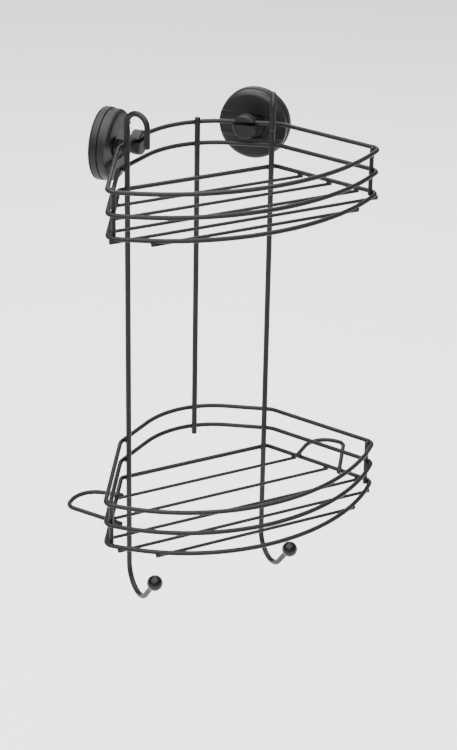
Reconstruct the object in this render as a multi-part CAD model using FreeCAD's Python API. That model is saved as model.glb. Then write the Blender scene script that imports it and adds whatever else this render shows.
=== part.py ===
import FreeCAD, Part
import os
from math import sqrt, sin, cos, tan, radians, acos, atan2, pi

# Corner shower caddy: two welded wire baskets on three upright rods, hung on two
# turn-to-lock suction adapters, one on each wall of the corner.
# Millimetres. +Z up, +X to the right, +Y back into the corner of the room.
# Working zero: middle of the front chord at the height of the upper basket's top rail.
# The finished part is moved so that the middle of its box is the origin.

V = FreeCAD.Vector

# ---- driving dimensions ---------------------------------------------------
RAIL_D = 4.0            # basket rails and posts
FLOOR_D = 3.0           # floor wires
ROD_D = 5.0             # upright rods
# each basket: half chord between its front corners, where that chord lies,
# how far the front rail bows forward of it, and its floor wires back to front
UPPER = (125.0, 0.0, 43.0, (69.5, 43.0, 18.5, -2.5, -20.5))
LOWER = (131.4, -5.0, 58.0, (67.0, 36.5, 7.5, -15.0, -35.5))
BACK_X = 77.0           # half width at the two back corners, both baskets
BACK_Y = 89.425         # how far back those corners are, top and middle rails
RING_BACK_Y = 93.8      # straight back of the bottom ring
BACK_SLOPE = 33.0       # degrees, straight part of the back rail
APEX_R = 74.0           # bend radius in the middle of the back rail
CORNER_R = 8.0          # bend radius of the front corners
BACK_CORNER_R = 14.0    # bend radius of the back corners, top and middle rails
RING_CORNER_R = 4.5     # bend radius of the back corners, bottom ring
RAIL_STEP = 20.0        # from one rail down to the next
BASKET_STEP = 282.0     # from the upper basket down to the lower one
FLOOR_OVERHANG = 1.5    # floor wire ends past the rail's middle

ROD_X = 68.93           # side rods, left and right of the middle
ROD_Y = 89.3
BACK_ROD_X = 11.0       # the back rod stands a little right of the middle
ROD_OVERSHOOT = 3.0     # back rod past the rails at its two ends

TOP_HOOK_R = 11.0       # bend radius of the hooks at the rods' tops
TOP_HOOK_Z = 20.5       # where that bend starts
TOP_HOOK_END_Z = 4.0    # open end of the hook
TOP_HOOK_DIR = (0.45, -0.893)   # left rod; the right one is its mirror image

LOW_HOOK_R = 21.0       # bend radius of the hooks at the rods' feet
LOW_HOOK_Z = -411.5     # where that bend starts
LOW_HOOK_TURN = 140.0   # degrees of bend
LOW_HOOK_LEG = 33.0     # straight leg after the bend, to the ball's middle
BALL_D = 14.5
BALL_SOCKET = 4.5       # how far the rod stops short of the ball's middle

LOOP_IN_FRONT = (108.5, 14.5)   # towel loop, right one: ends on the basket's side
LOOP_IN_BACK = (88.5, 58.5)
LOOP_OUT_FRONT = (140.4, 61.8)  # its two outer corners
LOOP_OUT_BACK = (118.7, 83.5)
LOOP_FRONT_R = 9.0
LOOP_BACK_R = 22.0

WALL = 145.0            # from the zero axis to each wall, measured square to it
CUP_ALONG = 39.0        # the adapter's middle along the wall
AXIS_Z = -9.0           # the adapter's axis, below the top rail
PAD_R = 31.5            # rubber pad
PAD_T = 2.0
PAD_TOP = 2.6
PAD_HOLE_R = 10.3
CUP_R = 32.0            # housing
CUP_BACK = 5.6          # back of its plate
CUP_FRONT = 7.2
CUP_WALL_R = 29.4
BOSS_R = 11.5
BOSS_BORE_R = 8.2
BOSS_END = 14.2
DIAL_R = 31.2           # turning dial
DIAL_BACK = 7.4
DIAL_FRONT = 17.0
DIAL_FLOOR = 14.0       # bottom of the grip channel across the dial
DIAL_HOLLOW = 11.8      # how far its hollow back reaches
DIAL_WALL_R = 28.8
DIAL_EDGE_R = 4.0
CHANNEL_W = 21.0
DIAL_BORE_R = 11.56
HUB_R = 16.6
TRACK_R = 14.2          # cam track inside the dial
TRACK_BACK = 8.3
TRACK_FRONT = 12.5
PIN_D = 2.4
PIN_S = 11.2            # cross pin, locked
PIN_HALF = 13.6
SLOT_W = 2.6
STEM_R = 8.1
STEM_BACK = 4.5
STEM_FRONT = 13.0
STEM_FLANGE_R = 10.0
STEM_FLANGE_T = 1.0
NECK_BACK = 13.4
NECK_FLANGE_END = 15.6
NECK_R = 4.75
HEAD_BACK = 29.0
HEAD_FRONT = 38.5
HEAD_R = 10.8
HEAD_UP = 5.0           # the head stands this far above the adapter's axis
MOUTH = 3.5             # snap mouth of the holder, narrower than the rail

rail_r = RAIL_D / 2
floor_r = FLOOR_D / 2
rod_r = ROD_D / 2


# ---- helpers ---------------------------------------------------------------
def line(a, b):
    return Part.LineSegment(a, b).toShape()


def arc(a, m, b):
    return Part.Arc(a, m, b).toShape()


def swept(edges, radius):
    """Round wire of one radius along joined edges that meet without a kink."""
    first = edges[0]
    start = first.valueAt(first.FirstParameter)
    tangent = first.tangentAt(first.FirstParameter)
    ring = Part.Wire(Part.makeCircle(radius, start, tangent))
    pipe = Part.Wire(edges).makePipeShell([ring], True, False)
    return pipe if pipe.ShapeType == "Solid" else Part.Solid(pipe)


def rod(a, b, radius):
    along = b - a
    return Part.makeCylinder(radius, along.Length, a, along)


def mirrored(shape):
    return shape.mirror(V(0, 0, 0), V(1, 0, 0))


def unit(x, y):
    size = sqrt(x * x + y * y)
    return (x / size, y / size)


def line_at(p, q, y):
    """Point of the line through p and q that lies at y."""
    return (p[0] + (q[0] - p[0]) * (y - p[1]) / (q[1] - p[1]), y)


def fillet_points(p, q, r, radius):
    """Tangent points and mid point of a bend of `radius` at the corner q."""
    a = unit(p[0] - q[0], p[1] - q[1])
    b = unit(r[0] - q[0], r[1] - q[1])
    half = acos(max(-1.0, min(1.0, a[0] * b[0] + a[1] * b[1]))) / 2
    reach = radius / tan(half)
    mid = unit(a[0] + b[0], a[1] + b[1])
    centre = (q[0] + mid[0] * radius / sin(half), q[1] + mid[1] * radius / sin(half))
    t1 = (q[0] + a[0] * reach, q[1] + a[1] * reach)
    t2 = (q[0] + b[0] * reach, q[1] + b[1] * reach)
    top = (centre[0] - mid[0] * radius, centre[1] - mid[1] * radius)
    return t1, top, t2


# ---- plan of a basket ------------------------------------------------------
slope = radians(BACK_SLOPE)
apex_y = BACK_Y + BACK_X * tan(slope)
apex_c = apex_y - APEX_R / cos(slope)       # centre of the back rail's middle bend
apex_t = (APEX_R * sin(slope), apex_c + APEX_R * cos(slope))


def front_corner(half, chord, bow):
    """Front bow and right front corner: where the corner's bend meets its neighbours."""
    bow_r = (half ** 2 + bow ** 2) / (2 * bow)
    bow_y = chord - bow + bow_r
    side = unit(BACK_X - half, BACK_Y - chord)      # front to back
    inward = (-side[1], side[0])
    base = (half + inward[0] * CORNER_R, chord + inward[1] * CORNER_R)
    qb = side[0] * base[0] + side[1] * (base[1] - bow_y)
    qc = base[0] ** 2 + (base[1] - bow_y) ** 2 - (bow_r - CORNER_R) ** 2
    root = sqrt(qb * qb - qc)
    step = min((-qb - root, -qb + root), key=abs)
    bend = (base[0] + side[0] * step, base[1] + side[1] * step)
    out = unit(bend[0], bend[1] - bow_y)
    mid = unit(out[0] - inward[0], out[1] - inward[1])
    return {
        "bow_r": bow_r,
        "bow_y": bow_y,
        "to_side": (bend[0] - inward[0] * CORNER_R, bend[1] - inward[1] * CORNER_R),
        "to_bow": (bend[0] + out[0] * CORNER_R, bend[1] + out[1] * CORNER_R),
        "mid": (bend[0] + mid[0] * CORNER_R, bend[1] + mid[1] * CORNER_R),
        "post": (bend[0] + mid[0] * (CORNER_R - RAIL_D), bend[1] + mid[1] * (CORNER_R - RAIL_D)),
    }


def ring(front, bow, chord, z, straight_back):
    """One closed basket rail, built as a right half and its mirror image."""
    def at(p):
        return V(p[0], p[1], z)
    bow_r, bow_y = front["bow_r"], front["bow_y"]
    to_bow, to_side = front["to_bow"], front["to_side"]
    half = atan2(to_bow[0], bow_y - to_bow[1]) / 2
    front_mid = (bow_r * sin(half), bow_y - bow_r * cos(half))
    corner = (BACK_X, BACK_Y)
    ring_corner = line_at(to_side, corner, RING_BACK_Y)
    edges = [arc(at((0, chord - bow)), at(front_mid), at(to_bow))]
    edges.append(arc(at(to_bow), at(front["mid"]), at(to_side)))
    if straight_back:
        t1, top, t2 = fillet_points(to_side, ring_corner, (0, RING_BACK_Y), RING_CORNER_R)
        edges.append(line(at(to_side), at(t1)))
        edges.append(arc(at(t1), at(top), at(t2)))
        edges.append(line(at(t2), at((0, RING_BACK_Y))))
    else:
        t1, top, t2 = fillet_points(to_side, corner, apex_t, BACK_CORNER_R)
        h = slope / 2
        edges.append(line(at(to_side), at(t1)))
        edges.append(arc(at(t1), at(top), at(t2)))
        edges.append(line(at(t2), at(apex_t)))
        mid_apex = (APEX_R * sin(h), apex_c + APEX_R * cos(h))
        edges.append(arc(at(apex_t), at(mid_apex), at((0, apex_c + APEX_R))))
    right = swept(edges, rail_r)
    return right.fuse(mirrored(right))


def basket(prefix, top, plan):
    """Three rails, five floor wires and two corner posts, all welded together."""
    half, chord, bow, floor_y = plan
    front = front_corner(half, chord, bow)
    low = top - 2 * RAIL_STEP
    wire_z = low - rail_r - floor_r
    made = {}
    made[prefix + "_top_rail"] = ring(front, bow, chord, top, False)
    made[prefix + "_middle_rail"] = ring(front, bow, chord, top - RAIL_STEP, False)
    made[prefix + "_bottom_ring"] = ring(front, bow, chord, low, True)
    for i, y in enumerate(floor_y):
        if y > chord:
            x = half + (BACK_X - half) * (y - chord) / (BACK_Y - chord)
        else:
            x = sqrt(front["bow_r"] ** 2 - (y - front["bow_y"]) ** 2)
        x = x + FLOOR_OVERHANG
        wire = rod(V(-x, y, wire_z), V(x, y, wire_z), floor_r)
        made["%s_floor_wire_%d" % (prefix, i + 1)] = wire
    foot = V(front["post"][0], front["post"][1], low - 1.0)
    head = V(front["post"][0], front["post"][1], top + 1.0)
    post = rod(foot, head, rail_r)
    made[prefix + "_right_post"] = post
    made[prefix + "_left_post"] = mirrored(post)
    return made


# ---- upright rods ----------------------------------------------------------
def side_rod():
    """Left rod with its two hooks, and the ball on its foot."""
    x, y = -ROD_X, ROD_Y
    turn = radians(LOW_HOOK_TURN)
    centre = V(x, y - LOW_HOOK_R, LOW_HOOK_Z)

    def on_bend(angle):
        return centre + V(0, LOW_HOOK_R * cos(angle), -LOW_HOOK_R * sin(angle))
    leg = V(0, -sin(turn), -cos(turn))
    bend_end = on_bend(turn)
    ball_c = bend_end + leg * LOW_HOOK_LEG
    rod_end = ball_c - leg * BALL_SOCKET
    d = unit(TOP_HOOK_DIR[0], TOP_HOOK_DIR[1])
    top_a = V(x, y, TOP_HOOK_Z)
    top_m = V(x + d[0] * TOP_HOOK_R, y + d[1] * TOP_HOOK_R, TOP_HOOK_Z + TOP_HOOK_R)
    top_b = V(x + d[0] * 2 * TOP_HOOK_R, y + d[1] * 2 * TOP_HOOK_R, TOP_HOOK_Z)
    edges = [line(rod_end, bend_end)]
    edges.append(arc(bend_end, on_bend(turn / 2), on_bend(0)))
    edges.append(line(on_bend(0), top_a))
    edges.append(arc(top_a, top_m, top_b))
    edges.append(line(top_b, V(top_b.x, top_b.y, TOP_HOOK_END_Z)))
    bar = swept(edges, rod_r)
    ball = Part.makeSphere(BALL_D / 2, ball_c)
    socket = rod(rod_end, rod_end - leg * BALL_D, rod_r)
    return bar, ball.cut(socket)


def back_rod():
    reach = APEX_R - rail_r - rod_r
    y = apex_c + sqrt(reach ** 2 - BACK_ROD_X ** 2)
    low = -BASKET_STEP - RAIL_STEP - rail_r - ROD_OVERSHOOT
    return rod(V(BACK_ROD_X, y, low), V(BACK_ROD_X, y, rail_r + ROD_OVERSHOOT), rod_r)


def towel_loop():
    """Right loop: it lies on the bottom ring's side and reaches back to the wall."""
    z = -BASKET_STEP - 2 * RAIL_STEP + RAIL_D

    def at(p):
        return V(p[0], p[1], z)
    a1, am, a2 = fillet_points(LOOP_IN_FRONT, LOOP_OUT_FRONT, LOOP_OUT_BACK, LOOP_FRONT_R)
    b1, bm, b2 = fillet_points(LOOP_OUT_FRONT, LOOP_OUT_BACK, LOOP_IN_BACK, LOOP_BACK_R)
    edges = [line(at(LOOP_IN_FRONT), at(a1)), arc(at(a1), at(am), at(a2))]
    edges.append(line(at(a2), at(b1)))
    edges.append(arc(at(b1), at(bm), at(b2)))
    edges.append(line(at(b2), at(LOOP_IN_BACK)))
    return swept(edges, rail_r)


# ---- suction adapter, made standing on the plane z = 0 ---------------------
def turned(points):
    """Solid of revolution about Z from (radius, height) points."""
    pts = [V(r, 0, h) for r, h in points]
    face = Part.Face(Part.makePolygon(pts + [pts[0]]))
    return face.revolve(V(0, 0, 0), V(0, 0, 1), 360)


def circles_at(radius, height):
    """Picks the round edges of one radius and height, for rounding them off."""
    def match(edge):
        c = edge.Curve
        if not hasattr(c, "Radius") or not hasattr(c, "Center"):
            return False
        return abs(c.Radius - radius) < 0.01 and abs(c.Center.z - height) < 0.01
    return match


def rounded(shape, match, radius):
    edges = [e for e in shape.Edges if match(e)]
    return shape.makeFillet(radius, edges)


def adapter():
    made = {}
    pad = turned([(PAD_HOLE_R, 1.0), (24.5, 1.0), (26.0, 0), (PAD_R, 0),
                  (PAD_R, PAD_T), (23.5, PAD_T), (22.5, PAD_TOP), (PAD_HOLE_R, PAD_TOP)])
    made["suction_pad"] = pad

    cup = turned([(BOSS_BORE_R, CUP_BACK), (CUP_WALL_R, CUP_BACK), (CUP_WALL_R, PAD_T),
                  (CUP_R, PAD_T),
                  (CUP_R, CUP_FRONT), (BOSS_R, CUP_FRONT), (BOSS_R, BOSS_END),
                  (BOSS_BORE_R, BOSS_END)])
    cup = rounded(cup, circles_at(CUP_R, CUP_FRONT), 0.8)
    slot = Part.makeBox(SLOT_W, 2 * BOSS_R + 2, TRACK_FRONT - TRACK_BACK,
                        V(-SLOT_W / 2, -BOSS_R - 1, TRACK_BACK))
    made["cup_housing"] = cup.cut(slot)

    dial = turned([(DIAL_BORE_R, DIAL_BACK), (HUB_R, DIAL_BACK), (HUB_R, DIAL_HOLLOW),
                   (DIAL_WALL_R - 2.0, DIAL_HOLLOW), (DIAL_WALL_R, DIAL_HOLLOW - 2.0),
                   (DIAL_WALL_R, DIAL_BACK), (DIAL_R, DIAL_BACK),
                   (DIAL_R, DIAL_FRONT), (DIAL_BORE_R, DIAL_FRONT),
                   (DIAL_BORE_R, TRACK_FRONT), (TRACK_R, TRACK_FRONT),
                   (TRACK_R, TRACK_BACK), (DIAL_BORE_R, TRACK_BACK)])
    dial = rounded(dial, circles_at(DIAL_R, DIAL_FRONT), DIAL_EDGE_R)
    channel = Part.makeBox(2 * DIAL_R + 2, CHANNEL_W, 10,
                           V(-DIAL_R - 1, -CHANNEL_W / 2, DIAL_FLOOR))
    made["lock_dial"] = dial.cut(channel)

    flange_end = STEM_BACK + STEM_FLANGE_T
    stem = turned([(0, STEM_BACK), (STEM_FLANGE_R, STEM_BACK), (STEM_FLANGE_R, flange_end),
                   (STEM_R, flange_end), (STEM_R, STEM_FRONT), (0, STEM_FRONT)])
    pin = rod(V(0, -PIN_HALF, PIN_S), V(0, PIN_HALF, PIN_S), PIN_D / 2)
    made["pull_stem"] = stem.cut(pin)
    made["cross_pin"] = pin

    neck = turned([(0, NECK_BACK), (BOSS_BORE_R, NECK_BACK), (BOSS_BORE_R, BOSS_END),
                   (BOSS_R - 0.3, BOSS_END), (BOSS_R - 0.3, NECK_FLANGE_END),
                   (NECK_R, NECK_FLANGE_END), (NECK_R, HEAD_BACK + 2), (0, HEAD_BACK + 2)])
    head = Part.makeCylinder(HEAD_R, HEAD_FRONT - HEAD_BACK, V(0, 0, HEAD_BACK))
    head = rounded(head, circles_at(HEAD_R, HEAD_FRONT), 2.0)
    head = rounded(head, circles_at(HEAD_R, HEAD_BACK), 1.0)
    head.translate(V(0, HEAD_UP, 0))
    made["wire_holder"] = neck.fuse(head)
    return made


def placed(shape):
    """Stands the adapter on the left wall, its axis pointing into the room."""
    s = 1 / sqrt(2)
    n = V(-s, s, 0)
    t = V(s, s, 0)
    origin = n * WALL + t * CUP_ALONG + V(0, 0, AXIS_Z)
    m = FreeCAD.Matrix(t.x, 0, -n.x, origin.x,
                       t.y, 0, -n.y, origin.y,
                       t.z, 1, -n.z, origin.z,
                       0, 0, 0, 1)
    moved = shape.copy()
    moved.Placement = FreeCAD.Placement(m)
    return moved


def rail_cut():
    """Seat and snap mouth for the top rail, cut through the left holder's head."""
    along = V(cos(slope), sin(slope), 0)
    inward = V(sin(slope), -cos(slope), 0)
    start = V(-BACK_X, BACK_Y, 0)
    near, span = 8.0, 50.0
    seat = rod(start + along * near, start + along * (near + span), rail_r)
    corner = start + along * near - V(0, 0, MOUTH / 2)
    face = Part.Face(Part.makePolygon([corner, corner + along * span,
                                       corner + along * span + V(0, 0, MOUTH),
                                       corner + V(0, 0, MOUTH), corner]))
    return seat, face.extrude(inward * 22.0)


# ---- all the pieces --------------------------------------------------------
pieces = {}
pieces.update(basket("upper", 0.0, UPPER))
pieces.update(basket("lower", -BASKET_STEP, LOWER))
bar, ball = side_rod()
pieces["left_rod"] = bar
pieces["right_rod"] = mirrored(bar)
pieces["left_hook_ball"] = ball
pieces["right_hook_ball"] = mirrored(ball)
pieces["back_rod"] = back_rod()
loop = towel_loop()
pieces["right_towel_loop"] = loop
pieces["left_towel_loop"] = mirrored(loop)
seat, mouth = rail_cut()
for name, shape in adapter().items():
    shape = placed(shape)
    if name == "wire_holder":
        shape = shape.cut(seat).cut(mouth)
    pieces["left_" + name] = shape
    pieces["right_" + name] = mirrored(shape)

box = FreeCAD.BoundBox()
for shape in pieces.values():
    box.add(shape.optimalBoundingBox(False))
shift = V(0, 0, 0) - box.Center

os.makedirs("parts", exist_ok=True)
for node, shape in pieces.items():
    if len(shape.Solids) == 1:
        shape = shape.Solids[0]
    shape = shape.copy()
    shape.translate(shift)
    shape.exportStep("parts/" + node + ".step")
    print(node, shape.ShapeType, shape.isValid(), len(shape.Solids), round(shape.Volume, 1))
print("shift", shift, "size", box.XLength, box.YLength, box.ZLength)
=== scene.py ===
"""Corner shower caddy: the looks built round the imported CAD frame.

Two welded wire baskets on three upright rods hang from two turn-to-lock suction
adapters. The wires are black powder-coated steel, the adapters matte black ABS,
and the pads behind them soft black rubber.
"""

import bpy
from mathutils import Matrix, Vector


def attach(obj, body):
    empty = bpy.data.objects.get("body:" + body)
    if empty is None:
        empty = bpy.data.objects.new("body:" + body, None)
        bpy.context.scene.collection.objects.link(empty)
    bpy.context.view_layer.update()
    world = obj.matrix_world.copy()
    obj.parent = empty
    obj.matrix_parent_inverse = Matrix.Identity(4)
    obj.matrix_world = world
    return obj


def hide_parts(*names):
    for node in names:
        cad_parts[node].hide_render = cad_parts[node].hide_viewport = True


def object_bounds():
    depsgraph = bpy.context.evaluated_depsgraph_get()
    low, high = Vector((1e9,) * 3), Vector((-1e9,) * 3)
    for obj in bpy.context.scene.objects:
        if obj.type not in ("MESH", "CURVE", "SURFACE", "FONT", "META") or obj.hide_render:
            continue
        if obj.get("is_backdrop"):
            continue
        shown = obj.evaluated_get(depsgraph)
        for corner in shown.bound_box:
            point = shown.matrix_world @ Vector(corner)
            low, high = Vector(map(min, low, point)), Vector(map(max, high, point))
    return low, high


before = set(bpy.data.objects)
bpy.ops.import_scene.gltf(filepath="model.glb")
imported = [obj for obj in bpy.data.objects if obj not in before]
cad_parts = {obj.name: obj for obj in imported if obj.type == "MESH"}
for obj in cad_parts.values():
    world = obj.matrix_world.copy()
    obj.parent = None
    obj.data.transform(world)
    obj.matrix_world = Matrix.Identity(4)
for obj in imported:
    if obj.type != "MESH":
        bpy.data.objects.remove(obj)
CAD_LOW, CAD_HIGH = (tuple(corner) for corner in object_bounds())

import logging
import math
from dataclasses import dataclass
from enum import Enum

import bmesh
import bpy
import numpy as np
from mathutils import Matrix, Vector

LOG = logging.getLogger("shower_caddy")

# Middle of the object's box, in millimetres from the caddy's own zero: the middle
# of the upper basket's front chord, at the height of its top rail.
ZERO_TO_BOX = np.array([0.0, -43.6908, 200.5])


def to_row(points_mm: np.ndarray) -> np.ndarray:
    """Moves points from the caddy's own zero in millimetres to the row frame in metres."""
    return (np.asarray(points_mm, float) + ZERO_TO_BOX) / 1000.0


def unit(vector: np.ndarray) -> np.ndarray:
    """The same direction with length one."""
    vector = np.asarray(vector, float)
    return vector / np.linalg.norm(vector)


class Side(Enum):
    """Left or right half of the caddy; the value is the sign of X."""

    LEFT = -1
    RIGHT = 1

    @property
    def word(self) -> str:
        """The side's name as the nodes spell it."""
        return self.name.lower()


class Slot(Enum):
    """Material slots of the record that the pieces take their finish from."""

    WIRE = "wire_coating"
    BALL = "ball_coating"
    ADAPTER = "adapter_plastic"
    STEM = "stem_plastic"
    PAD = "pad_rubber"
    PIN = "pin_steel"


# ---- finishes ------------------------------------------------------------------


def linear(code: str) -> tuple[float, float, float, float]:
    """Turns an sRGB hex colour into linear light.

    Args:
        code: six hex digits, with or without a leading hash.

    Returns:
        Red, green, blue and an alpha of one, each channel following the sRGB curve:
        c / 12.92 below 0.04045, else ((c + 0.055) / 1.055) to the power 2.4.
    """
    digits = code.lstrip("#")
    srgb = np.array([int(digits[i:i + 2], 16) for i in (0, 2, 4)]) / 255.0
    light = np.where(srgb <= 0.04045, srgb / 12.92, ((srgb + 0.055) / 1.055) ** 2.4)
    return (float(light[0]), float(light[1]), float(light[2]), 1.0)


def add_node(tree: bpy.types.NodeTree, kind: str, settings: dict | None = None,
             inputs: dict | None = None) -> bpy.types.Node:
    """Adds one node, sets its properties and fills or links its inputs.

    Args:
        tree: the node tree that gets the node.
        kind: Blender's name of the node type.
        settings: properties of the node by name.
        inputs: socket name or index to a value, or to the output socket it links from.

    Returns:
        The new node.
    """
    node = tree.nodes.new(kind)
    for name, value in (settings or {}).items():
        setattr(node, name, value)
    for key, value in (inputs or {}).items():
        socket = node.inputs[key]
        if isinstance(value, bpy.types.NodeSocket):
            tree.links.new(value, socket)
        else:
            socket.default_value = value
    return node


def blank_material(name: str) -> tuple[bpy.types.Material, bpy.types.NodeTree]:
    """A new material with an empty node tree."""
    material = bpy.data.materials.new(name)
    material.use_nodes = True
    material.node_tree.nodes.clear()
    return material, material.node_tree


# How strongly the grain tilts the normal, how much light a dark coat throws back
# straight (0.5 would be the full amount for its index), and the stretch of the cloud
# noise over which the gloss runs from its lowest to its highest.
GRAIN_STRENGTH = 0.6
COAT_SPECULAR = 0.25
CLOUD_SPAN = (0.3, 0.7)


@dataclass(frozen=True)
class GrainedFinish:
    """A hard coat or moulding with a fine grain and slightly uneven gloss.

    Attributes:
        name: the real material and process.
        colour: sRGB hex of the surface.
        colour_high: sRGB hex where handling and dust make it a touch paler.
        roughness: lowest and highest roughness of the surface.
        ior: index of refraction of its outermost layer.
        grain_mm: spacing of the grain.
        grain_depth_mm: height of the grain.
        cloud_mm: size of the patches in which the gloss drifts.
        metallic: one for bare metal, else zero.
    """

    name: str
    colour: str
    colour_high: str
    roughness: tuple[float, float]
    ior: float
    grain_mm: float
    grain_depth_mm: float
    cloud_mm: float
    metallic: float = 0.0

    @staticmethod
    def noise(tree: bpy.types.NodeTree, where: bpy.types.NodeSocket, spacing_mm: float,
              detail: float, roughness: float) -> bpy.types.NodeSocket:
        """Noise whose features lie about spacing_mm apart.

        Args:
            tree: the material's node tree.
            where: coordinates in metres.
            spacing_mm: distance between features.
            detail: how many finer layers are added.
            roughness: weight of each finer layer against the one before it.

        Returns:
            The noise value, from zero to one.
        """
        return add_node(tree, "ShaderNodeTexNoise", inputs={
            "Vector": where, "Scale": 1000.0 / spacing_mm, "Detail": detail,
            "Roughness": roughness}).outputs[0]

    def make(self) -> bpy.types.Material:
        """Builds the node material on Object coordinates.

        Returns:
            A material whose colour and roughness drift over patches of cloud_mm and
            whose normal is lifted by a noise of grain_mm.
        """
        material, tree = blank_material(self.name)
        where = add_node(tree, "ShaderNodeTexCoord").outputs["Object"]
        cloud = self.noise(tree, where, self.cloud_mm, 3.0, 0.55)
        grain = self.noise(tree, where, self.grain_mm, 2.0, 0.5)
        shade = add_node(tree, "ShaderNodeMix", {"data_type": "RGBA"}, {
            "Factor": cloud, 6: linear(self.colour), 7: linear(self.colour_high)}).outputs[2]
        gloss = add_node(tree, "ShaderNodeMapRange", inputs={
            "Value": cloud, "From Min": CLOUD_SPAN[0], "From Max": CLOUD_SPAN[1],
            "To Min": self.roughness[0], "To Max": self.roughness[1]}).outputs[0]
        bump = add_node(tree, "ShaderNodeBump", inputs={
            "Strength": GRAIN_STRENGTH, "Distance": self.grain_depth_mm / 1000.0,
            "Height": grain}).outputs[0]
        wanted = {"Base Color": shade, "Roughness": gloss, "Normal": bump,
                  "Metallic": self.metallic}
        if not self.metallic:
            wanted |= {"IOR": self.ior, "Specular IOR Level": COAT_SPECULAR}
        surface = add_node(tree, "ShaderNodeBsdfPrincipled", inputs=wanted)
        add_node(tree, "ShaderNodeOutputMaterial", inputs={
            "Surface": surface.outputs[0]})
        return material


# Epoxy-polyester powder baked on steel wire: satin black, the melt leaves a soft
# orange-peel ripple about a millimetre apart, so highlights along a wire waver.
POWDER_COAT = GrainedFinish("powder_coated_steel_wire_satin_black", "#08080a", "#101012",
                            (0.40, 0.52), 1.45, 1.1, 0.05, 28.0)
# The same powder on the turned balls: thicker, so smoother and a little glossier.
BALL_COAT = GrainedFinish("powder_coated_steel_ball_satin_black", "#08080a", "#0e0e10",
                          (0.26, 0.34), 1.45, 1.6, 0.04, 14.0)
# Injection-moulded ABS from a spark-eroded tool: an even matte grain. The real grain
# is about 0.1 mm; it is drawn four times as coarse so that it shows.
MOULDED_ABS = GrainedFinish("abs_injection_moulded_matte_black", "#0a0b0d", "#121316",
                            (0.44, 0.56), 1.46, 0.4, 0.035, 18.0)
# Acetal, machined-smooth and waxy, for the stem that slides in the housing.
MOULDED_ACETAL = GrainedFinish("acetal_moulded_dark_grey", "#2c2d30", "#35363a",
                               (0.34, 0.42), 1.48, 0.8, 0.01, 12.0)
# Compression-moulded soft rubber: dull, with a faint dry bloom in patches.
PAD_RUBBER = GrainedFinish("tpe_rubber_compression_moulded_black", "#0e0f11", "#191a1d",
                           (0.58, 0.76), 1.45, 0.9, 0.03, 9.0)
# Centreless-ground stainless pin: bright, with very fine turned marks.
GROUND_STEEL = GrainedFinish("stainless_steel_centreless_ground", "#9b9da0", "#b3b5b8",
                             (0.22, 0.34), 1.5, 0.3, 0.004, 6.0, 1.0)

FINISHES: dict[Slot, GrainedFinish] = {
    Slot.WIRE: POWDER_COAT, Slot.BALL: BALL_COAT, Slot.ADAPTER: MOULDED_ABS,
    Slot.STEM: MOULDED_ACETAL, Slot.PAD: PAD_RUBBER, Slot.PIN: GROUND_STEEL,
}


@dataclass(frozen=True)
class PaintedFloor:
    """Smooth pale board under the caddy, matte so that it shows no hard reflection."""

    name: str = "mdf_board_matte_white_paint"
    colour: str = "#f6f6f5"
    roughness: float = 0.85
    specular: float = 0.2

    def make(self) -> bpy.types.Material:
        """Builds the plain matte material."""
        material, tree = blank_material(self.name)
        surface = add_node(tree, "ShaderNodeBsdfPrincipled", inputs={
            "Base Color": linear(self.colour), "Roughness": self.roughness,
            "Specular IOR Level": self.specular})
        add_node(tree, "ShaderNodeOutputMaterial", inputs={"Surface": surface.outputs[0]})
        return material


class Wardrobe:
    """Makes each finish once and dresses pieces in it."""

    def __init__(self) -> None:
        """Builds every material of the caddy."""
        self.made = {slot: finish.make() for slot, finish in FINISHES.items()}

    def dress(self, piece: bpy.types.Object, slot: Slot) -> None:
        """Gives a piece the one material of its slot.

        Args:
            piece: the mesh object.
            slot: the record's slot.
        """
        piece.data.materials.clear()
        piece.data.materials.append(self.made[slot])

    def enter(self, piece: bpy.types.Object, slot: Slot, body: str) -> bpy.types.Object:
        """Dresses a new piece in its slot's finish and lets it ride on a body.

        Args:
            piece: the new mesh object.
            slot: the record's slot.
            body: name of the moving body that carries it.

        Returns:
            The same piece.
        """
        self.dress(piece, slot)
        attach(piece, body)
        return piece


# ---- meshes from numpy ---------------------------------------------------------

MERGE_DISTANCE = 1e-7
MERGE_LENGTH = 1e-8


@dataclass(frozen=True)
class Ovals:
    """Where a set of small closed ovals sit: one row of each array for each oval.

    Attributes:
        centres: their middles, in millimetres from the caddy's own zero.
        along: first direction of each.
        across: second direction of each; need not be square to the first.
        sizes: the three half sizes of each, in millimetres.
    """

    centres: np.ndarray
    along: np.ndarray
    across: np.ndarray
    sizes: np.ndarray

    def __add__(self, other: "Ovals") -> "Ovals":
        """The ovals of both sets, this set's first."""
        return Ovals(np.vstack([self.centres, other.centres]),
                     np.vstack([self.along, other.along]),
                     np.vstack([self.across, other.across]),
                     np.vstack([self.sizes, other.sizes]))


def smooth_all(mesh: bpy.types.Mesh) -> None:
    """Shades every face of a mesh smoothly."""
    mesh.polygons.foreach_set("use_smooth", np.ones(len(mesh.polygons), bool))
    mesh.update()


def each(row: tuple[float, ...], count: int) -> np.ndarray:
    """The same row, count times."""
    return np.tile(np.array(row, float), (count, 1))


def mesh_piece(name: str, points_mm: np.ndarray, faces: np.ndarray) -> bpy.types.Object:
    """Turns arrays into a smooth mesh object with its place in its vertices.

    Args:
        name: name of the object and of its mesh.
        points_mm: vertices from the caddy's own zero, in millimetres, one row each.
        faces: four vertex numbers per row.

    Returns:
        The linked object, at the origin.
    """
    mesh = bpy.data.meshes.new(name)
    mesh.from_pydata(to_row(points_mm).tolist(), [], faces.tolist())
    smooth_all(mesh)
    piece = bpy.data.objects.new(name, mesh)
    bpy.context.scene.collection.objects.link(piece)
    return piece


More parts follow.
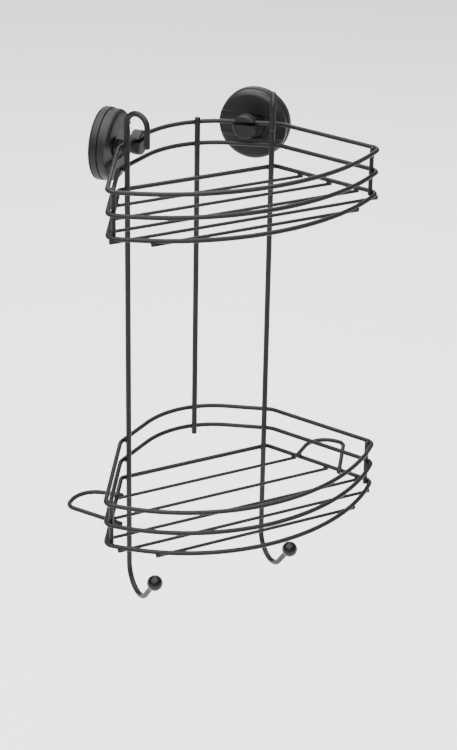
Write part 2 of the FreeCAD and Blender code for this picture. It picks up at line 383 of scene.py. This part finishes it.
def wrapped_faces(count: int, rows: int, columns: int, close_rows: bool) -> np.ndarray:
    """Quads of `count` equal grids whose columns close on themselves.

    Args:
        count: how many grids lie one after another in the vertex list.
        rows: points along the first parameter.
        columns: points round the second parameter.
        close_rows: whether the last row also joins the first.

    Returns:
        One row of four vertex numbers for each quad.
    """
    i, j = np.meshgrid(np.arange(rows if close_rows else rows - 1), np.arange(columns),
                       indexing="ij")
    k, l = (i + 1) % rows, (j + 1) % columns
    quad = np.stack([i * columns + j, i * columns + l, k * columns + l, k * columns + j], -1)
    quad = quad.reshape(-1, 4)
    offset = np.arange(count)[:, None, None] * rows * columns
    return (quad[None] + offset).reshape(-1, 4)


def beads(name: str, ovals: Ovals, rows: int = 13, columns: int = 20) -> bpy.types.Object:
    """Many small closed ovals in one mesh: weld beads and domed wire ends.

    Each oval is centre + a cos(v) cos(u) e1 + b cos(v) sin(u) e2 + c sin(v) e3, with u
    once round and v from minus 90 to plus 90 degrees; e1 is the first direction, e3 is
    square to both directions and e2 completes the three.

    Args:
        name: name of the object.
        ovals: where they sit and how large they are.
        rows: points from pole to pole.
        columns: points round.

    Returns:
        The object that holds them all.
    """
    e1 = ovals.along / np.linalg.norm(ovals.along, axis=1, keepdims=True)
    e3 = np.cross(e1, ovals.across)
    e3 /= np.linalg.norm(e3, axis=1, keepdims=True)
    e2 = np.cross(e3, e1)
    v = np.linspace(-np.pi / 2, np.pi / 2, rows)[:, None]
    u = np.linspace(0, 2 * np.pi, columns, endpoint=False)[None, :]
    shape = np.stack([np.cos(v) * np.cos(u), np.cos(v) * np.sin(u),
                      np.sin(v) * np.ones_like(u)], -1)
    scaled = shape[None] * ovals.sizes[:, None, None, :]
    basis = np.stack([e1, e2, e3], 1)
    points = np.einsum("nrck,nkd->nrcd", scaled, basis) + ovals.centres[:, None, None, :]
    piece = mesh_piece(name, points.reshape(-1, 3),
                       wrapped_faces(len(ovals.centres), rows, columns, False))
    return closed_poles(piece)


def closed_poles(piece: bpy.types.Object) -> bpy.types.Object:
    """Merges the points that meet at poles and seams, and faces the skin outwards.

    Args:
        piece: a mesh object whose rows of points may meet in one place.

    Returns:
        The same object, closed, smooth and with its normals outwards.
    """
    work = bmesh.new()
    work.from_mesh(piece.data)
    bmesh.ops.remove_doubles(work, verts=work.verts, dist=MERGE_DISTANCE)
    bmesh.ops.dissolve_degenerate(work, edges=work.edges, dist=MERGE_LENGTH)
    bmesh.ops.recalc_face_normals(work, faces=work.faces)
    work.to_mesh(piece.data)
    work.free()
    smooth_all(piece.data)
    return piece


def smooth_step(x: np.ndarray) -> np.ndarray:
    """Zero below 0, one above 1 and 3x^2 - 2x^3 between."""
    x = np.clip(x, 0.0, 1.0)
    return x * x * (3.0 - 2.0 * x)


# ---- wire work -----------------------------------------------------------------


@dataclass
class WireStock:
    """Diameters of the wires that the caddy is welded from, in millimetres."""

    rail: float = 4.0
    floor: float = 3.0
    rod: float = 5.0


# Half sizes of the weld beads in millimetres: along the first wire, across it, and
# how far the bead stands out of the gap. Thicker wires are joined with larger beads.
FLOOR_BEAD = (2.9, 2.3, 1.0)
POST_BEAD = (2.7, 2.1, 1.1)
LOOP_BEAD = (3.0, 2.4, 1.1)
ROD_BEAD = (3.2, 2.6, 1.3)
UP = (0.0, 0.0, 1.0)


def dome(wire: float, bulge: float) -> tuple[float, float, float]:
    """Half sizes of the rounded end of a cut wire.

    Args:
        wire: the wire's diameter, in millimetres.
        bulge: height of the dome as a share of the wire's radius.

    Returns:
        The half sizes along the wire and twice across it.
    """
    return (bulge * (wire / 2), wire / 2, wire / 2)


@dataclass
class BasketPlan:
    """Plan and heights of one basket, in millimetres from the caddy's own zero."""

    name: str
    top: float
    half_chord: float
    chord_y: float
    bow: float
    floor_y: tuple[float, ...]
    back_x: float = 77.0
    back_y: float = 89.425
    corner_r: float = 8.0
    rail_step: float = 20.0
    overhang: float = 1.5
    post_reach: float = 1.0

    @property
    def bow_r(self) -> float:
        """Radius of the front bow: (half chord squared + bow squared) / (2 bow)."""
        return (self.half_chord ** 2 + self.bow ** 2) / (2 * self.bow)

    @property
    def bow_y(self) -> float:
        """Where the middle of the front bow's circle lies behind the zero."""
        return self.chord_y - self.bow + self.bow_r

    @property
    def levels(self) -> tuple[float, float, float]:
        """Heights of the top rail, the middle rail and the bottom ring."""
        return (self.top, self.top - self.rail_step, self.top - 2 * self.rail_step)

    def side_direction(self) -> np.ndarray:
        """Direction of the right side rail, front to back."""
        return unit([self.back_x - self.half_chord, self.back_y - self.chord_y, 0.0])

    def half_width(self, y: np.ndarray) -> np.ndarray:
        """Half width between the rails: along the straight sides, else on the bow's circle."""
        side = self.half_chord + (self.back_x - self.half_chord) * (
            (y - self.chord_y) / (self.back_y - self.chord_y))
        front = np.sqrt(np.maximum(self.bow_r ** 2 - (y - self.bow_y) ** 2, 0.0))
        return np.where(y > self.chord_y, side, front)

    def corner_bend(self) -> tuple[np.ndarray, np.ndarray]:
        """Middle of the right front corner's bend and the direction to its outermost point.

        Returns:
            The bend's centre, at distance corner_r from the side line and at the bow's
            radius less corner_r from the bow's middle, and the unit vector that halves
            the angle between the two wires.
        """
        side = self.side_direction()
        inward = np.array([-side[1], side[0], 0.0])
        base = np.array([self.half_chord, self.chord_y, 0.0]) + inward * self.corner_r
        reach = base - np.array([0.0, self.bow_y, 0.0])
        half_b = float(side @ reach)
        root = math.sqrt(half_b ** 2 - float(reach @ reach)
                         + (self.bow_r - self.corner_r) ** 2)
        step = min((-half_b - root, -half_b + root), key=abs)
        centre = base + side * step
        outward = unit(centre - np.array([0.0, self.bow_y, 0.0]))
        return centre, unit(outward - inward)


@dataclass
class Basket:
    """One basket: three bent rails, five floor wires and two corner posts."""

    plan: BasketPlan
    stock: WireStock
    wardrobe: Wardrobe

    def nodes(self) -> list[str]:
        """Names of the basket's CAD nodes."""
        parts = ["top_rail", "middle_rail", "bottom_ring", "left_post", "right_post"]
        parts += [f"floor_wire_{i + 1}" for i in range(len(self.plan.floor_y))]
        return [f"{self.plan.name}_{part}" for part in parts]

    def dress(self) -> None:
        """Puts the powder coat on every wire of the basket."""
        for name in self.nodes():
            self.wardrobe.dress(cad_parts[name], Slot.WIRE)

    def floor_rows(self) -> tuple[np.ndarray, np.ndarray]:
        """Y and side of each end of the floor wires: left and right end of each in turn."""
        y = np.repeat(np.array(self.plan.floor_y), 2)
        return y, np.tile([-1.0, 1.0], len(self.plan.floor_y))

    def floor_joints(self) -> Ovals:
        """Beads where the floor wires are welded under the bottom ring."""
        plan = self.plan
        y, sign = self.floor_rows()
        x = plan.half_width(y) * sign
        z = np.full_like(x, plan.levels[2] - self.stock.rail / 2)
        side = plan.side_direction()
        on_bow = y <= plan.chord_y
        tangent = np.stack([np.where(on_bow, plan.bow_y - y, side[0] * sign),
                            np.where(on_bow, x, np.full_like(x, side[1])),
                            np.zeros_like(x)], -1)
        return Ovals(np.stack([x, y, z], -1), each((1.0, 0.0, 0.0), len(x)), tangent,
                     each(FLOOR_BEAD, len(x)))

    def post_joints(self) -> Ovals:
        """Beads where the posts are welded inside the front corners, at the three rails."""
        centre, outward = self.plan.corner_bend()
        spot = centre + outward * (self.plan.corner_r - self.stock.rail / 2)
        at = np.array([[spot[0], spot[1], level] for level in self.plan.levels])
        mirror = np.array([[1.0, 1.0, 1.0], [-1.0, 1.0, 1.0]])
        centres = (at[None] * mirror[:, None]).reshape(-1, 3)
        across = np.repeat(np.cross(outward, UP)[None] * mirror, len(at), 0)
        return Ovals(centres, each(UP, len(centres)), across,
                     each(POST_BEAD, len(centres)))

    def wire_ends(self) -> Ovals:
        """Domes on the cut ends of the floor wires and posts."""
        plan, stock = self.plan, self.stock
        y, sign = self.floor_rows()
        x = (plan.half_width(y) + plan.overhang) * sign
        z = np.full_like(x, plan.levels[2] - stock.rail / 2 - stock.floor / 2)
        floor = Ovals(np.stack([x, y, z], -1), each((1.0, 0.0, 0.0), len(x)),
                      each((0.0, 1.0, 0.0), len(x)), each(dome(stock.floor, 0.75), len(x)))
        centre, outward = plan.corner_bend()
        foot = centre + outward * (plan.corner_r - stock.rail)
        heights = (plan.levels[0] + plan.post_reach, plan.levels[2] - plan.post_reach)
        tips = np.array([[foot[0] * sign, foot[1], height]
                         for sign in (1.0, -1.0) for height in heights])
        return floor + Ovals(tips, each(UP, len(tips)), each((0.0, 1.0, 0.0), len(tips)),
                             each(dome(stock.rail, 0.6), len(tips)))

    def build(self) -> list[bpy.types.Object]:
        """Adds the weld beads and wire ends of the basket.

        Returns:
            The new pieces, dressed and riding on the rack.
        """
        made = [beads(f"{self.plan.name}_basket_welds",
                      self.floor_joints() + self.post_joints()),
                beads(f"{self.plan.name}_basket_wire_ends", self.wire_ends())]
        return [self.wardrobe.enter(piece, Slot.WIRE, "rack") for piece in made]


@dataclass
class Uprights:
    """The three upright rods, their hooks and balls, and the two towel loops."""

    baskets: tuple[BasketPlan, BasketPlan]
    stock: WireStock
    wardrobe: Wardrobe
    rod_x: float = 68.93
    rod_y: float = 89.3
    back_rod_x: float = 11.0
    back_slope: float = 33.0
    apex_r: float = 74.0
    rod_overshoot: float = 3.0
    top_hook_r: float = 11.0
    top_hook_end: float = 4.0
    top_hook_dir: tuple[float, float] = (0.45, -0.893)
    back_weld_shift: float = 1.03
    back_weld_slope: float = -0.2
    end_bulge: float = 0.7
    back_end_bulge: float = 0.4
    loop_front: tuple[tuple[float, float], tuple[float, float]] = (
        (108.5, 14.5), (140.4, 61.8))
    loop_back: tuple[tuple[float, float], tuple[float, float]] = (
        (88.5, 58.5), (118.7, 83.5))

    def dress(self) -> None:
        """Powder coat on the rods and loops, the smoother coat on the balls."""
        for side in Side:
            for part in ("rod", "towel_loop"):
                self.wardrobe.dress(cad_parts[f"{side.word}_{part}"], Slot.WIRE)
            self.wardrobe.dress(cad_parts[f"{side.word}_hook_ball"], Slot.BALL)
        self.wardrobe.dress(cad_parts["back_rod"], Slot.WIRE)

    def back_rod_y(self) -> float:
        """The back rod touches the inside of the back rail's middle bend."""
        slope = math.radians(self.back_slope)
        plan = self.baskets[0]
        middle = plan.back_y + plan.back_x * math.tan(slope) - self.apex_r / math.cos(slope)
        reach = self.apex_r - (self.stock.rail + self.stock.rod) / 2
        return middle + math.sqrt(reach ** 2 - self.back_rod_x ** 2)

    def joints(self) -> Ovals:
        """Weld beads between rods, loops and rails."""
        centres, along, across, sizes = [], [], [], []
        half_rod, half_rail = self.stock.rod / 2, self.stock.rail / 2
        slope = math.radians(self.back_slope)
        tilts = (slope, slope, 0.0)
        for plan in self.baskets:
            for sign in (-1.0, 1.0):
                flip = np.array([sign, 1.0, 1.0])
                for level, tilt in zip(plan.levels, tilts):
                    rod = np.array([self.rod_x, self.rod_y, level])
                    out = np.array([math.sin(tilt), math.cos(tilt), 0.0])
                    centres.append((rod + out * half_rod) * flip)
                    along.append(UP)
                    across.append(np.array([-out[1], out[0], 0.0]) * flip)
                    sizes.append(ROD_BEAD)
            y = self.back_rod_y()
            for level in plan.levels[:2]:
                centres.append([self.back_rod_x * self.back_weld_shift, y + half_rod, level])
                along.append(UP)
                across.append([1.0, self.back_weld_slope, 0.0])
                sizes.append(ROD_BEAD)
        lower = self.baskets[1]
        side = lower.side_direction()
        start = np.array([lower.half_chord, lower.chord_y])
        for inner, outer in (self.loop_front, self.loop_back):
            p, q = np.array(inner), np.array(outer)
            step = q - p
            cross = step[0] * side[1] - step[1] * side[0]
            t = ((start[0] - p[0]) * side[1] - (start[1] - p[1]) * side[0]) / cross
            spot = p + step * t
            for sign in (-1.0, 1.0):
                centres.append([spot[0] * sign, spot[1], lower.levels[2] + half_rail])
                along.append([step[0] * sign, step[1], 0.0])
                across.append([side[0] * sign, side[1], 0.0])
                sizes.append(LOOP_BEAD)
        return Ovals(*(np.array(part, float) for part in (centres, along, across, sizes)))

    def ends(self) -> Ovals:
        """Domes on the cut ends of the hooks, the back rod and the loops."""
        centres, along, sizes = [], [], []
        rod, rail = self.stock.rod, self.stock.rail
        reach = unit([*self.top_hook_dir, 0.0]) * 2 * self.top_hook_r
        loop_z = self.baskets[1].levels[2] + self.stock.rail
        for sign in (-1.0, 1.0):
            centres.append([(self.rod_x - reach[0]) * sign, self.rod_y + reach[1],
                            self.top_hook_end])
            along.append(UP)
            sizes.append(dome(rod, self.end_bulge))
            for inner, outer in (self.loop_front, self.loop_back):
                centres.append([inner[0] * sign, inner[1], loop_z])
                along.append([(outer[0] - inner[0]) * sign, outer[1] - inner[1], 0.0])
                sizes.append(dome(rail, self.end_bulge))
        top = self.stock.rail / 2 + self.rod_overshoot
        low = self.baskets[1].levels[1] - top
        for z in (top, low):
            centres.append([self.back_rod_x, self.back_rod_y(), z])
            along.append(UP)
            sizes.append(dome(rod, self.back_end_bulge))
        across = each((0.31, -0.95, 0.05), len(centres))
        return Ovals(np.array(centres, float), np.array(along, float), across,
                     np.array(sizes, float))

    def build(self) -> list[bpy.types.Object]:
        """Adds the weld beads and the rounded ends of the rods and loops."""
        made = [beads("rod_and_loop_welds", self.joints()),
                beads("rod_and_loop_ends", self.ends())]
        return [self.wardrobe.enter(piece, Slot.WIRE, "rack") for piece in made]


# ---- suction adapters ----------------------------------------------------------


# Half sizes of one index rib on the dial's rim, in millimetres: across the rim, along
# it and outwards.
RIB_BEAD = (1.9, 0.35, 0.45)


@dataclass(frozen=True)
class Band:
    """A thin closed band with an oval section, carried once round the adapter's axis.

    Attributes:
        name: end of the object's name.
        inset: how far its middle lies inside the housing's edge, in millimetres.
        height: distance of its middle from the wall.
        thick: half the section's width across the radius.
        deep: half the section's depth along the axis.
    """

    name: str
    inset: float
    height: float
    thick: float
    deep: float
    columns: int = 144
    section: int = 12


# The soft rim of the pad where it bears on the wall.
PAD_LIP = Band("pad_lip", 0.5, 1.0, 0.5, 0.7)
# The thin witness line that the two halves of the mould leave on the housing.
PARTING_LINE = Band("housing_parting_line", 0.0, 4.2, 0.1, 0.25)


@dataclass(frozen=True)
class OutlineSteps:
    """How many points the dial's outline gets on each stretch, and how many columns."""

    foot: int = 5
    rise: int = 6
    corner: int = 14
    face: int = 44
    columns: int = 540


@dataclass
class Adapter:
    """One suction adapter: pad, housing, turning dial, stem, pin and wire holder."""

    side: Side
    wardrobe: Wardrobe
    wall: float = 145.0
    along: float = 39.0
    axis_z: float = -9.0
    housing_r: float = 32.0
    dial_r: float = 31.2
    dial_back: float = 7.4
    dial_front: float = 17.0
    dial_floor: float = 14.0
    dial_hollow: float = 11.8
    dial_wall_r: float = 28.8
    dial_bore: float = 11.56
    hub_r: float = 16.6
    track: tuple[float, float, float] = (14.2, 8.3, 12.5)
    edge_r: float = 4.4
    foot_r: float = 0.5
    bore_edge: float = 0.35
    hollow_chamfer: float = 2.0
    channel: float = 21.0
    channel_lead: float = 0.6
    channel_edge: float = 1.6
    rib_pitch: float = 4.0
    pad_hole: float = 10.3
    skin_thick: float = 0.8
    skin_dish: tuple[float, float] = (0.45, 0.55)
    skin_ripple: tuple[float, float] = (0.12, 3.4)
    steps: OutlineSteps = OutlineSteps()

    def place(self, local: np.ndarray) -> np.ndarray:
        """Stands points of the adapter on its wall.

        Args:
            local: millimetres; the first axis runs along the wall towards the corner,
                the second is up and the third runs from the wall into the room.

        Returns:
            The same points from the caddy's own zero.
        """
        s = math.sqrt(0.5)
        normal, tangent = np.array([-s, s, 0.0]), np.array([s, s, 0.0])
        up = np.array([0.0, 0.0, 1.0])
        origin = normal * self.wall + tangent * self.along + up * self.axis_z
        placed = (origin + local[..., :1] * tangent + local[..., 1:2] * up
                  - local[..., 2:3] * normal)
        if self.side is Side.RIGHT:
            placed = placed * np.array([-1.0, 1.0, 1.0])
        return placed

    def node(self, part: str) -> bpy.types.Object:
        """The CAD node of one of the adapter's parts."""
        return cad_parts[f"{self.side.word}_{part}"]

    def dress(self) -> None:
        """Gives each CAD part of the adapter its finish."""
        slots = {"suction_pad": Slot.PAD, "cup_housing": Slot.ADAPTER,
                 "lock_dial": Slot.ADAPTER, "wire_holder": Slot.ADAPTER,
                 "pull_stem": Slot.STEM, "cross_pin": Slot.PIN}
        for part, slot in slots.items():
            self.wardrobe.dress(self.node(part), slot)

    def dial_profile(self) -> np.ndarray:
        """Closed outline of the dial, radius and height, before the channel is cut.

        The outer corner is a quarter circle of edge_r with its small flat face beside
        it; the hollow back leaves a wall of about 2.4 mm.

        Returns:
            Radius and height of each outline point, outside first.
        """
        steps = self.steps
        turn = np.linspace(0.0, np.pi / 2, steps.corner)
        corner = np.stack([self.dial_r - self.edge_r + self.edge_r * np.cos(turn),
                           self.dial_front - self.edge_r + self.edge_r * np.sin(turn)], -1)
        soft = np.linspace(0.0, np.pi / 2, steps.foot)
        foot = np.stack([self.dial_r - self.foot_r + self.foot_r * np.sin(soft),
                         self.dial_back + self.foot_r - self.foot_r * np.cos(soft)], -1)
        rise = np.stack([np.full(steps.rise, self.dial_r),
                         np.linspace(self.dial_back + 2 * self.foot_r,
                                     self.dial_front - self.edge_r - 0.4, steps.rise)], -1)
        face = np.stack([np.linspace(self.dial_r - self.edge_r - 0.3,
                                     self.dial_bore + self.bore_edge, steps.face),
                         np.full(steps.face, self.dial_front)], -1)
        track_r, track_back, track_front = self.track
        hole = np.array([
            [self.dial_bore, self.dial_front - self.bore_edge],
            [self.dial_bore, self.dial_floor],
            [self.dial_bore, track_front], [track_r, track_front], [track_r, track_back],
            [self.dial_bore, track_back], [self.dial_bore, self.dial_back],
            [self.hub_r, self.dial_back], [self.hub_r, self.dial_hollow],
            [self.dial_wall_r - self.hollow_chamfer, self.dial_hollow],
            [self.dial_wall_r, self.dial_hollow - self.hollow_chamfer],
            [self.dial_wall_r, self.dial_back]])
        return np.vstack([foot, rise, corner, face, hole])

    def dial(self) -> bpy.types.Object:
        """The turning dial with a soft-edged grip channel across its front.

        Points are (r cos a, r sin a, h) for the outline's r and h and the angle a. Where
        h lies above the channel's floor, it becomes floor + (h - floor) w, and w rises
        by a smooth step from 0 to 1 over channel_edge of |r sin a| at the channel's wall.

        Returns:
            The piece that stands for the CAD dial.
        """
        outline = self.dial_profile()
        angle = np.linspace(0.0, 2 * np.pi, self.steps.columns, endpoint=False)
        r, h = outline[:, None, 0], outline[:, None, 1]
        x, y = r * np.cos(angle), r * np.sin(angle)
        start = self.channel / 2 - self.channel_lead
        wall = smooth_step((np.abs(y) - start) / self.channel_edge)
        front = h > self.dial_floor
        z = np.where(front, self.dial_floor + (h - self.dial_floor) * wall, h)
        local = np.stack([x, y, np.broadcast_to(z, x.shape)], -1)
        name = f"{self.side.word}_dial_moulding"
        piece = mesh_piece(name, self.place(local).reshape(-1, 3),
                           wrapped_faces(1, len(outline), len(angle), True))
        return closed_poles(piece)

    def ring(self, band: Band) -> bpy.types.Object:
        """A thin closed band round the adapter's axis.

        Points are ((R + a cos v) cos u, (R + a cos v) sin u, h + b sin v), where R is
        the housing's radius less the band's inset and h, a and b are the band's height,
        thick and deep.

        Args:
            band: its sizes.

        Returns:
            The band.
        """
        u = np.linspace(0, 2 * np.pi, band.columns, endpoint=False)[:, None]
        v = np.linspace(0, 2 * np.pi, band.section, endpoint=False)[None, :]
        r = self.housing_r - band.inset + band.thick * np.cos(v)
        local = np.stack([r * np.cos(u), r * np.sin(u),
                          (band.height + band.deep * np.sin(v)) * np.ones_like(u)], -1)
        piece = mesh_piece(f"{self.side.word}_{band.name}",
                           self.place(local).reshape(-1, 3),
                           wrapped_faces(1, band.columns, band.section, True))
        return closed_poles(piece)

    def membrane(self) -> bpy.types.Object:
        """The pad's thin middle skin, dished towards the stem, with two moulded rings.

        The outline is a flat loop: its height on the wall side is
        0.45 + 0.55 (1 - (r / R)^2) + 0.12 cos(2 pi r / 3.4) mm, and on the room side the
        same without the ripple and one skin thickness higher.

        Returns:
            The skin that closes the pad's middle.
        """
        edge, rise = self.skin_dish
        ripple_high, ripple_pitch = self.skin_ripple
        r = np.linspace(0.02, self.pad_hole + 0.3, 26)
        dish = edge + rise * (1 - (r / r[-1]) ** 2)
        ripple = ripple_high * np.cos(2 * np.pi * r / ripple_pitch)
        wall_side = np.stack([r, dish + ripple], -1)
        room_side = np.stack([r[::-1], dish[::-1] + self.skin_thick], -1)
        outline = np.vstack([wall_side, room_side])
        angle = np.linspace(0, 2 * np.pi, 96, endpoint=False)
        radius, height = outline[:, None, 0], outline[:, None, 1]
        local = np.stack([radius * np.cos(angle), radius * np.sin(angle),
                          height * np.ones_like(angle)], -1)
        piece = mesh_piece(f"{self.side.word}_pad_membrane",
                           self.place(local).reshape(-1, 3),
                           wrapped_faces(1, len(outline), len(angle), True))
        return closed_poles(piece)

    def index_ribs(self, count: int = 3) -> bpy.types.Object:
        """Short raised ribs on one end of the dial's rim, which show how far it is turned.

        Args:
            count: how many ribs stand side by side.

        Returns:
            The ribs, half sunk in the rim and rib_pitch degrees apart.
        """
        angle = np.radians(90.0 + self.rib_pitch * (np.arange(count) - (count - 1) / 2))
        radial = np.stack([np.cos(angle), np.sin(angle), np.zeros(count)], -1)
        height = (self.dial_back + self.dial_front - self.edge_r) / 2
        centre = radial * self.dial_r + np.array([0.0, 0.0, height])
        origin = self.place(np.zeros((1, 3)))
        along = self.place(each(UP, count)) - origin
        across = self.place(radial) - origin
        ribs = Ovals(self.place(centre), along, across, each(RIB_BEAD, count))
        return beads(f"{self.side.word}_dial_index_ribs", ribs)

    def build(self) -> list[bpy.types.Object]:
        """Makes the adapter's shown pieces and lets them ride on their bodies.

        Returns:
            The new pieces.
        """
        dial = self.dial()
        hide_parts(f"{self.side.word}_lock_dial")
        lip, parting = self.ring(PAD_LIP), self.ring(PARTING_LINE)
        skin, ribs = self.membrane(), self.index_ribs()
        turning = f"{self.side.word}_dial"
        wanted = ((dial, Slot.ADAPTER, turning), (ribs, Slot.ADAPTER, turning),
                  (lip, Slot.PAD, "rack"), (parting, Slot.ADAPTER, "rack"),
                  (skin, Slot.PAD, "rack"))
        return [self.wardrobe.enter(piece, slot, body) for piece, slot, body in wanted]


# ---- floor, light and camera ---------------------------------------------------


@dataclass(frozen=True)
class Softbox:
    """A square soft light that faces the middle of the caddy.

    Attributes:
        name: name of the light.
        place: where it stands, in metres.
        size: side of the square, in metres.
        power: in watts.
    """

    name: str
    place: tuple[float, float, float]
    size: float
    power: float

    def build(self) -> bpy.types.Object:
        """Adds the light, turned to the caddy."""
        data = bpy.data.lights.new(self.name, "AREA")
        data.size = self.size
        data.energy = self.power
        lamp = bpy.data.objects.new(self.name, data)
        lamp.location = self.place
        lamp.rotation_mode = "QUATERNION"
        lamp.rotation_quaternion = (-Vector(self.place)).to_track_quat("-Z", "Y")
        bpy.context.scene.collection.objects.link(lamp)
        lamp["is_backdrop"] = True
        return lamp


# A very large box overhead lights the floor evenly; a small key and a back light draw
# the highlights along the wires.
SOFTBOXES = (
    Softbox("overhead_softbox", (-0.4, -0.3, 2.9), 5.0, 620.0),
    Softbox("key_softbox", (-1.5, -1.7, 1.2), 0.8, 16.0),
    Softbox("back_softbox", (0.9, 1.7, 1.1), 1.0, 12.0),
)


@dataclass
class Studio:
    """Pale floor, dim pale surroundings and the soft lights."""

    drop: float = 0.30
    floor_half: float = 9.0
    world_colour: str = "#fbfbfb"
    world_strength: float = 0.45

    def floor(self) -> bpy.types.Object:
        """A flat pale sheet some way below the hanging caddy."""
        z = CAD_LOW[2] - self.drop
        h = self.floor_half
        mesh = bpy.data.meshes.new("studio_floor")
        mesh.from_pydata([(-h, -h, z), (h, -h, z), (h, h, z), (-h, h, z)], [],
                         [(0, 1, 2, 3)])
        piece = bpy.data.objects.new("studio_floor", mesh)
        bpy.context.scene.collection.objects.link(piece)
        mesh.materials.append(PaintedFloor().make())
        piece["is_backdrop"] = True
        return piece

    def surroundings(self) -> None:
        """An even pale sky."""
        world = bpy.data.worlds.new("pale_surroundings")
        bpy.context.scene.world = world
        world.use_nodes = True
        world.node_tree.nodes.clear()
        glow = add_node(world.node_tree, "ShaderNodeBackground", inputs={
            "Color": linear(self.world_colour), "Strength": self.world_strength})
        add_node(world.node_tree, "ShaderNodeOutputWorld", inputs={
            "Surface": glow.outputs[0]})

    def build(self) -> None:
        """Sets up the floor, the sky and the lights."""
        self.floor()
        self.surroundings()
        for softbox in SOFTBOXES:
            softbox.build()


@dataclass
class Viewpoint:
    """The camera: from the left, above and in front, in degrees and millimetres."""

    turn: float = 26.47
    down: float = 24.15
    roll: float = 1.06
    place: tuple[float, float, float] = (-652.1, -1278.6, 539.5)
    lens: float = 89.66
    sensor: float = 36.0
    shift_y: float = -0.12
    clip: tuple[float, float] = (0.05, 60.0)

    def build(self) -> bpy.types.Object:
        """Makes the camera and gives it to the scene."""
        a, p, r = (math.radians(v) for v in (self.turn, self.down, self.roll))
        ahead = Vector((math.sin(a) * math.cos(p), math.cos(a) * math.cos(p), -math.sin(p)))
        level = Vector((math.cos(a), -math.sin(a), 0.0))
        over = level.cross(ahead)
        right = level * math.cos(r) + over * math.sin(r)
        above = over * math.cos(r) - level * math.sin(r)
        turn = Matrix((right, above, -ahead)).transposed()
        data = bpy.data.cameras.new("camera")
        data.sensor_width = self.sensor
        data.lens = self.lens
        data.shift_y = self.shift_y
        data.clip_start, data.clip_end = self.clip
        camera = bpy.data.objects.new("camera", data)
        place = Vector(to_row(np.array(self.place)))
        camera.matrix_world = Matrix.Translation(place) @ turn.to_4x4()
        bpy.context.scene.collection.objects.link(camera)
        bpy.context.scene.camera = camera
        return camera


UPPER = BasketPlan("upper", 0.0, 125.0, 0.0, 43.0, (69.5, 43.0, 18.5, -2.5, -20.5))
LOWER = BasketPlan("lower", -282.0, 131.4, -5.0, 58.0, (67.0, 36.5, 7.5, -15.0, -35.5))


def main() -> None:
    """Builds the caddy's looks, then the studio and the camera."""
    logging.basicConfig(level=logging.INFO, format="%(name)s: %(message)s")
    wardrobe, stock = Wardrobe(), WireStock()
    groups = [Basket(UPPER, stock, wardrobe), Basket(LOWER, stock, wardrobe),
              Uprights((UPPER, LOWER), stock, wardrobe)]
    groups += [Adapter(side, wardrobe) for side in Side]
    for group in groups:
        group.dress()
        for piece in group.build():
            LOG.info("built %s with %d faces", piece.name, len(piece.data.polygons))
    Studio().build()
    Viewpoint().build()


if __name__ == "__main__":
    main()
